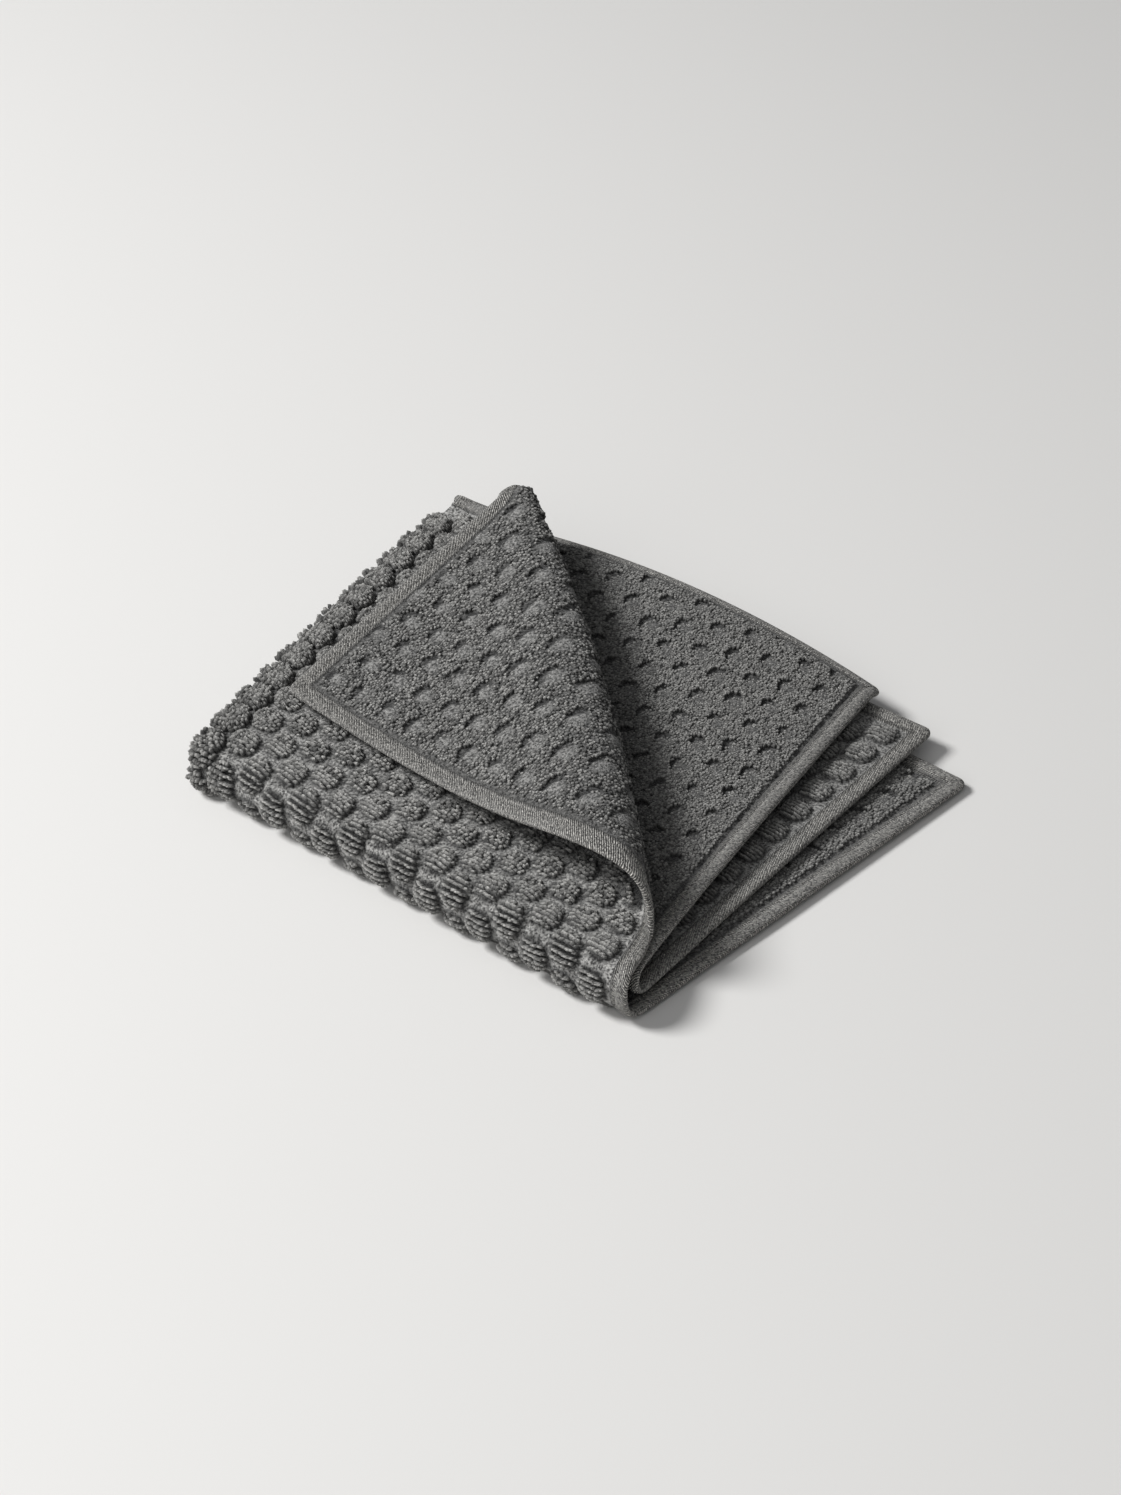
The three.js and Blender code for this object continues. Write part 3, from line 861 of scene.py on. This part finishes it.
cloth, cloth_edge = ground_cloth()
loop_pieces = [
    dotted_zone("loops_main_fold", MAIN_FOLD_SPAN, TOP_SIDE, always, RIBS, 1),
    dotted_zone("loops_first_fold", FULL_LENGTH, FIRST_FOLD_SPAN, always, FOLD_FLUFF, 2),
    dotted_zone("loops_top", TOP_SPAN, TOP_SIDE, top_shows, FLUFF, 3),
    dotted_zone("loops_second", BELOW_MAIN_FOLD, SECOND_ACROSS, second_shows, SHADED_SECOND_RIBS, 4),
    plain_zone(
        "loops_flap", FLAP_SPAN, FLAP_ACROSS, flap_shows, FLAP_PILE, 5, bare_patches=True
    ),
    plain_zone("loops_third_near", THIRD_NEAR_SPAN, THIRD_ACROSS, third_shows, THIRD_PILE, 6),
    plain_zone("loops_third_far", THIRD_FAR_SPAN, THIRD_ACROSS, third_shows, THIRD_PILE, 8),
    plain_zone("loops_lowest", BELOW_MAIN_FOLD, LOWEST_ACROSS, lowest_shows, LOWEST_PILE, 7),
]

# Materials
COTTON = {
    "Roughness": 0.95,
    "Specular IOR Level": 0.15,
    "Sheen Weight": 0.2,
    "Sheen Roughness": 0.6,
}
FIBRES = {"Detail": 2.0, "Roughness": 0.6}
FIBRE_RANGE = (0.36, 0.64)  # the middle values of the fibres' texture
TWILL_SCALE = 700  # lines about 0.9 mm apart along the hem
TWILL_LINES = {"Scale": TWILL_SCALE, "Distortion": 2.5, "Detail": 1.0, "Detail Scale": 1.5}
TWILL_RELIEF = 0.6  # how much of the bump is theirs
BUMP = {"Strength": 1.0, "Distance": 0.0012}
GROUND_COLOUR = (0.165, 0.163, 0.157)
LOOP_COLOUR = (0.203, 0.2, 0.191)
HEM_COLOUR = (0.325, 0.316, 0.296)


def set_inputs(node, values):
    """Sets a node's sockets, by their names."""
    for name, value in values.items():
        node.inputs[name].default_value = value


def texture(tree, kind, vector, values):
    """A texture node that follows a vector."""
    node = tree.nodes.new(kind)
    set_inputs(node, values)
    tree.links.new(vector, node.inputs["Vector"])
    return node


def spread_tone(tree, value, low, high, depth):
    """A tone around 1 from a texture's values between low and high."""
    node = tree.nodes.new("ShaderNodeMapRange")
    limits = {"From Min": low, "From Max": high, "To Min": 1 - depth, "To Max": 1 + depth}
    set_inputs(node, limits)
    tree.links.new(value, node.inputs["Value"])
    return node.outputs["Result"]


def multiply(tree, one, other):
    """The product of two values."""
    node = tree.nodes.new("ShaderNodeMath")
    node.operation = "MULTIPLY"
    tree.links.new(one, node.inputs[0])
    tree.links.new(other, node.inputs[1])
    return node.outputs["Value"]


def add_twill(tree, place, relief, tone, depth):
    """Fine diagonal lines of weave, in the relief and in the tone."""
    wave = texture(tree, "ShaderNodeTexWave", place.outputs["UV"], TWILL_LINES)
    wave.bands_direction = "DIAGONAL"
    lines = wave.outputs["Fac"]
    relief = multiply(tree, relief, spread_tone(tree, lines, 0, 1, TWILL_RELIEF))
    tone = multiply(tree, tone, spread_tone(tree, lines, 0, 1, depth))
    return relief, tone


def terry_material(name, colour, grain, grain_size, twill=0.0):
    """Cotton: a grey that follows each point's shade, which holds painted shade and light and the
    loops' random tints, with a fine grain and sheen.
    """
    material = bpy.data.materials.new(name)
    material.use_nodes = True
    tree = material.node_tree
    shader = tree.nodes["Principled BSDF"]
    set_inputs(shader, COTTON)
    shade = tree.nodes.new("ShaderNodeAttribute")
    shade.attribute_name = "shade"
    place = tree.nodes.new("ShaderNodeTexCoord")
    fibres = {"Scale": grain_size, **FIBRES}
    noise = texture(tree, "ShaderNodeTexNoise", place.outputs["Object"], fibres)
    relief = noise.outputs["Fac"]
    tone = multiply(tree, shade.outputs["Fac"], spread_tone(tree, relief, *FIBRE_RANGE, grain))
    if twill:
        relief, tone = add_twill(tree, place, relief, tone, twill)
    tint = tree.nodes.new("ShaderNodeVectorMath")
    tint.operation = "SCALE"
    tint.inputs[0].default_value = colour
    tree.links.new(tone, tint.inputs["Scale"])
    tree.links.new(tint.outputs["Vector"], shader.inputs["Base Color"])
    bump = tree.nodes.new("ShaderNodeBump")
    set_inputs(bump, BUMP)
    tree.links.new(relief, bump.inputs["Height"])
    tree.links.new(bump.outputs["Normal"], shader.inputs["Normal"])
    return material


ground = terry_material("terry_ground", GROUND_COLOUR, grain=0.85, grain_size=1000)
loop_finish = terry_material("terry_loops", LOOP_COLOUR, grain=0.25, grain_size=1800)
hem_finish = terry_material("terry_hem", HEM_COLOUR, grain=0.8, grain_size=1150, twill=0.75)
cloth.data.materials.append(ground)
cloth.data.materials.append(hem_finish)
on_hem = cloth_edge < SEAM - FINISH_ROOM
cloth.data.polygons.foreach_set("material_index", on_hem.astype(np.int32))
for piece in loop_pieces:
    piece.data.materials.append(loop_finish)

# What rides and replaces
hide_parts("towel")
for piece in [cloth, *loop_pieces]:
    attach(piece, "root")

# Floor, light and camera, in metres, watts and degrees
FLOOR_HALF = 6.0
FLOOR_CORNERS = ((-1, -1), (1, -1), (1, 1), (-1, 1))
FLOOR_FINISH = {
    "Base Color": (0.74, 0.732, 0.716, 1),
    "Roughness": 0.8,
    "Specular IOR Level": 0.2,
}
SKY = {"Color": (0.93, 0.94, 0.96, 1), "Strength": 0.18}
SENSOR_HEIGHT = 36  # of the camera, in millimetres, as its focal length is
FOCAL_LENGTH = 85.5
CAMERA_PLACE = (0.7031, -0.8264, 0.7972)
CAMERA_TILT = 53.9  # up from straight down
CAMERA_TURN = 40.27  # round the vertical


def make_floor():
    """A plain pale floor under the towel."""
    mesh = bpy.data.meshes.new("floor")
    corners = [(x * FLOOR_HALF, y * FLOOR_HALF, 0) for x, y in FLOOR_CORNERS]
    mesh.from_pydata(corners, [], [(0, 1, 2, 3)])
    floor = bpy.data.objects.new("floor", mesh)
    bpy.context.scene.collection.objects.link(floor)
    material = bpy.data.materials.new("pale_floor")
    material.use_nodes = True
    set_inputs(material.node_tree.nodes["Principled BSDF"], FLOOR_FINISH)
    mesh.materials.append(material)
    return floor


def area_light(name, size, power, place):
    """A round soft light that faces the towel."""
    light = bpy.data.lights.new(name, "AREA")
    light.shape = "DISK"
    light.size = size
    light.energy = power
    lamp = bpy.data.objects.new(name, light)
    bpy.context.scene.collection.objects.link(lamp)
    lamp.location = place
    aim = -lamp.location
    lamp.rotation_euler = aim.to_track_quat("-Z", "Y").to_euler()


def make_world():
    """Even light from all round."""
    world = bpy.data.worlds.new("studio")
    bpy.context.scene.world = world
    world.use_nodes = True
    set_inputs(world.node_tree.nodes["Background"], SKY)


def make_camera():
    """The camera at the photograph's angle."""
    lens = bpy.data.cameras.new("camera")
    lens.sensor_fit = "VERTICAL"
    lens.sensor_height = SENSOR_HEIGHT
    lens.lens = FOCAL_LENGTH
    camera = bpy.data.objects.new("camera", lens)
    bpy.context.scene.collection.objects.link(camera)
    camera.location = CAMERA_PLACE
    camera.rotation_euler = (math.radians(CAMERA_TILT), 0, math.radians(CAMERA_TURN))
    bpy.context.scene.camera = camera


floor = make_floor()
area_light("key", size=0.9, power=74, place=(-1.5, -1.05, 1.85))
area_light("fill", size=1.2, power=5, place=(0.2, -1.2, 0.9))
make_world()
make_camera()
bpy.context.scene.view_settings.view_transform = "Standard"
